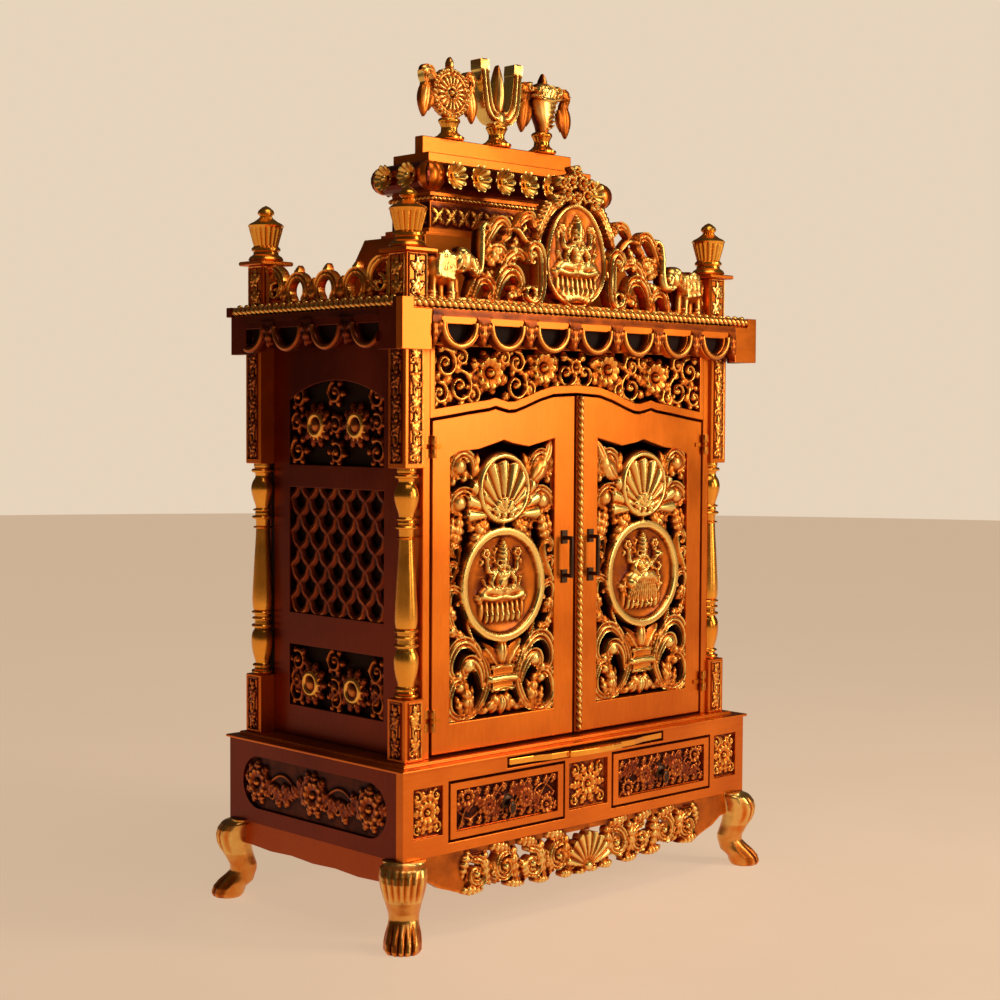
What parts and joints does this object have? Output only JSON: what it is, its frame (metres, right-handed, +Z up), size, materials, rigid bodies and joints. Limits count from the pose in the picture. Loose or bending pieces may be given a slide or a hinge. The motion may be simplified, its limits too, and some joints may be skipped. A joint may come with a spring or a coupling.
{
  "type": "home shrine cabinet",
  "caption": "Carved wooden home shrine cabinet on cabriole legs, with hinged pierced doors, drawers, a pull-out tray, corner columns and a tiered roof.",
  "frame": {"origin": "on the floor at the middle of the footprint", "axes": "+Z up; the doors and drawers face -Y; +X to the right of someone facing the shrine"},
  "size_m": [0.9846, 0.5726, 1.597],
  "materials": {
    "copper_lacquer": "wood sprayed with glossy metallic copper-orange lacquer",
    "gold_carving": "carved wood rubbed with bright gold metallic paint on the high points",
    "handle_metal": "dark plated metal with a bright grip",
    "hinge_brass": "small brass hinges, painted over in the same gold"
  },
  "bodies": {
    "cabinet": {"front_legs": "gold_carving", "back_legs": "gold_carving", "front_apron": "gold_carving", "side_aprons": "copper_lacquer", "back_apron": "copper_lacquer", "plinth_front": "copper_lacquer", "plinth_sides": "copper_lacquer", "plinth_back": "copper_lacquer", "plinth_bottom": "copper_lacquer", "drawer_guides": "copper_lacquer", "plinth_top": "copper_lacquer", "front_columns": "copper_lacquer", "back_columns": "copper_lacquer", "left_side_panel": "copper_lacquer", "right_side_panel": "copper_lacquer", "left_fretwork": "copper_lacquer", "right_fretwork": "copper_lacquer", "back_panel": "copper_lacquer", "front_frame": "copper_lacquer", "header_fret": "gold_carving", "door_hinges": "hinge_brass", "canopy_top": "copper_lacquer", "canopy_front": "copper_lacquer", "canopy_sides": "copper_lacquer", "canopy_back": "copper_lacquer", "finials": "gold_carving", "side_crests": "gold_carving", "pediment": "gold_carving", "tower_roof": "copper_lacquer", "tower_box": "copper_lacquer", "flower_cornice": "gold_carving", "emblem_plank": "copper_lacquer", "disc_emblem": "gold_carving", "flame_emblem": "gold_carving", "shell_emblem": "gold_carving"},
    "left_door": {"left_door_frame": "copper_lacquer", "left_door_fret": "gold_carving", "left_door_metalwork": "handle_metal"},
    "right_door": {"right_door_frame": "copper_lacquer", "right_door_fret": "gold_carving", "right_door_metalwork": "handle_metal", "rope_astragal": "gold_carving"},
    "left_drawer": {"left_drawer": "copper_lacquer"},
    "right_drawer": {"right_drawer": "copper_lacquer"},
    "tray": {"pull_out_tray": "copper_lacquer"}
  },
  "joints": [
    {"name": "left_door_hinge", "type": "hinge", "parent": "cabinet", "child": "left_door", "pos_m": [-0.363, -0.22, 0.6], "axis": [0, 0, -1], "range_deg": [0, 110]},
    {"name": "right_door_hinge", "type": "hinge", "parent": "cabinet", "child": "right_door", "pos_m": [0.363, -0.22, 0.6], "axis": [0, 0, 1], "range_deg": [0, 110]},
    {"name": "left_drawer_slide", "type": "slide", "parent": "cabinet", "child": "left_drawer", "axis": [0, -1, 0], "range_m": [0, 0.28]},
    {"name": "right_drawer_slide", "type": "slide", "parent": "cabinet", "child": "right_drawer", "axis": [0, -1, 0], "range_m": [0, 0.28]},
    {"name": "tray_slide", "type": "slide", "parent": "cabinet", "child": "tray", "axis": [0, -1, 0], "range_m": [0, 0.24]}
  ]
}
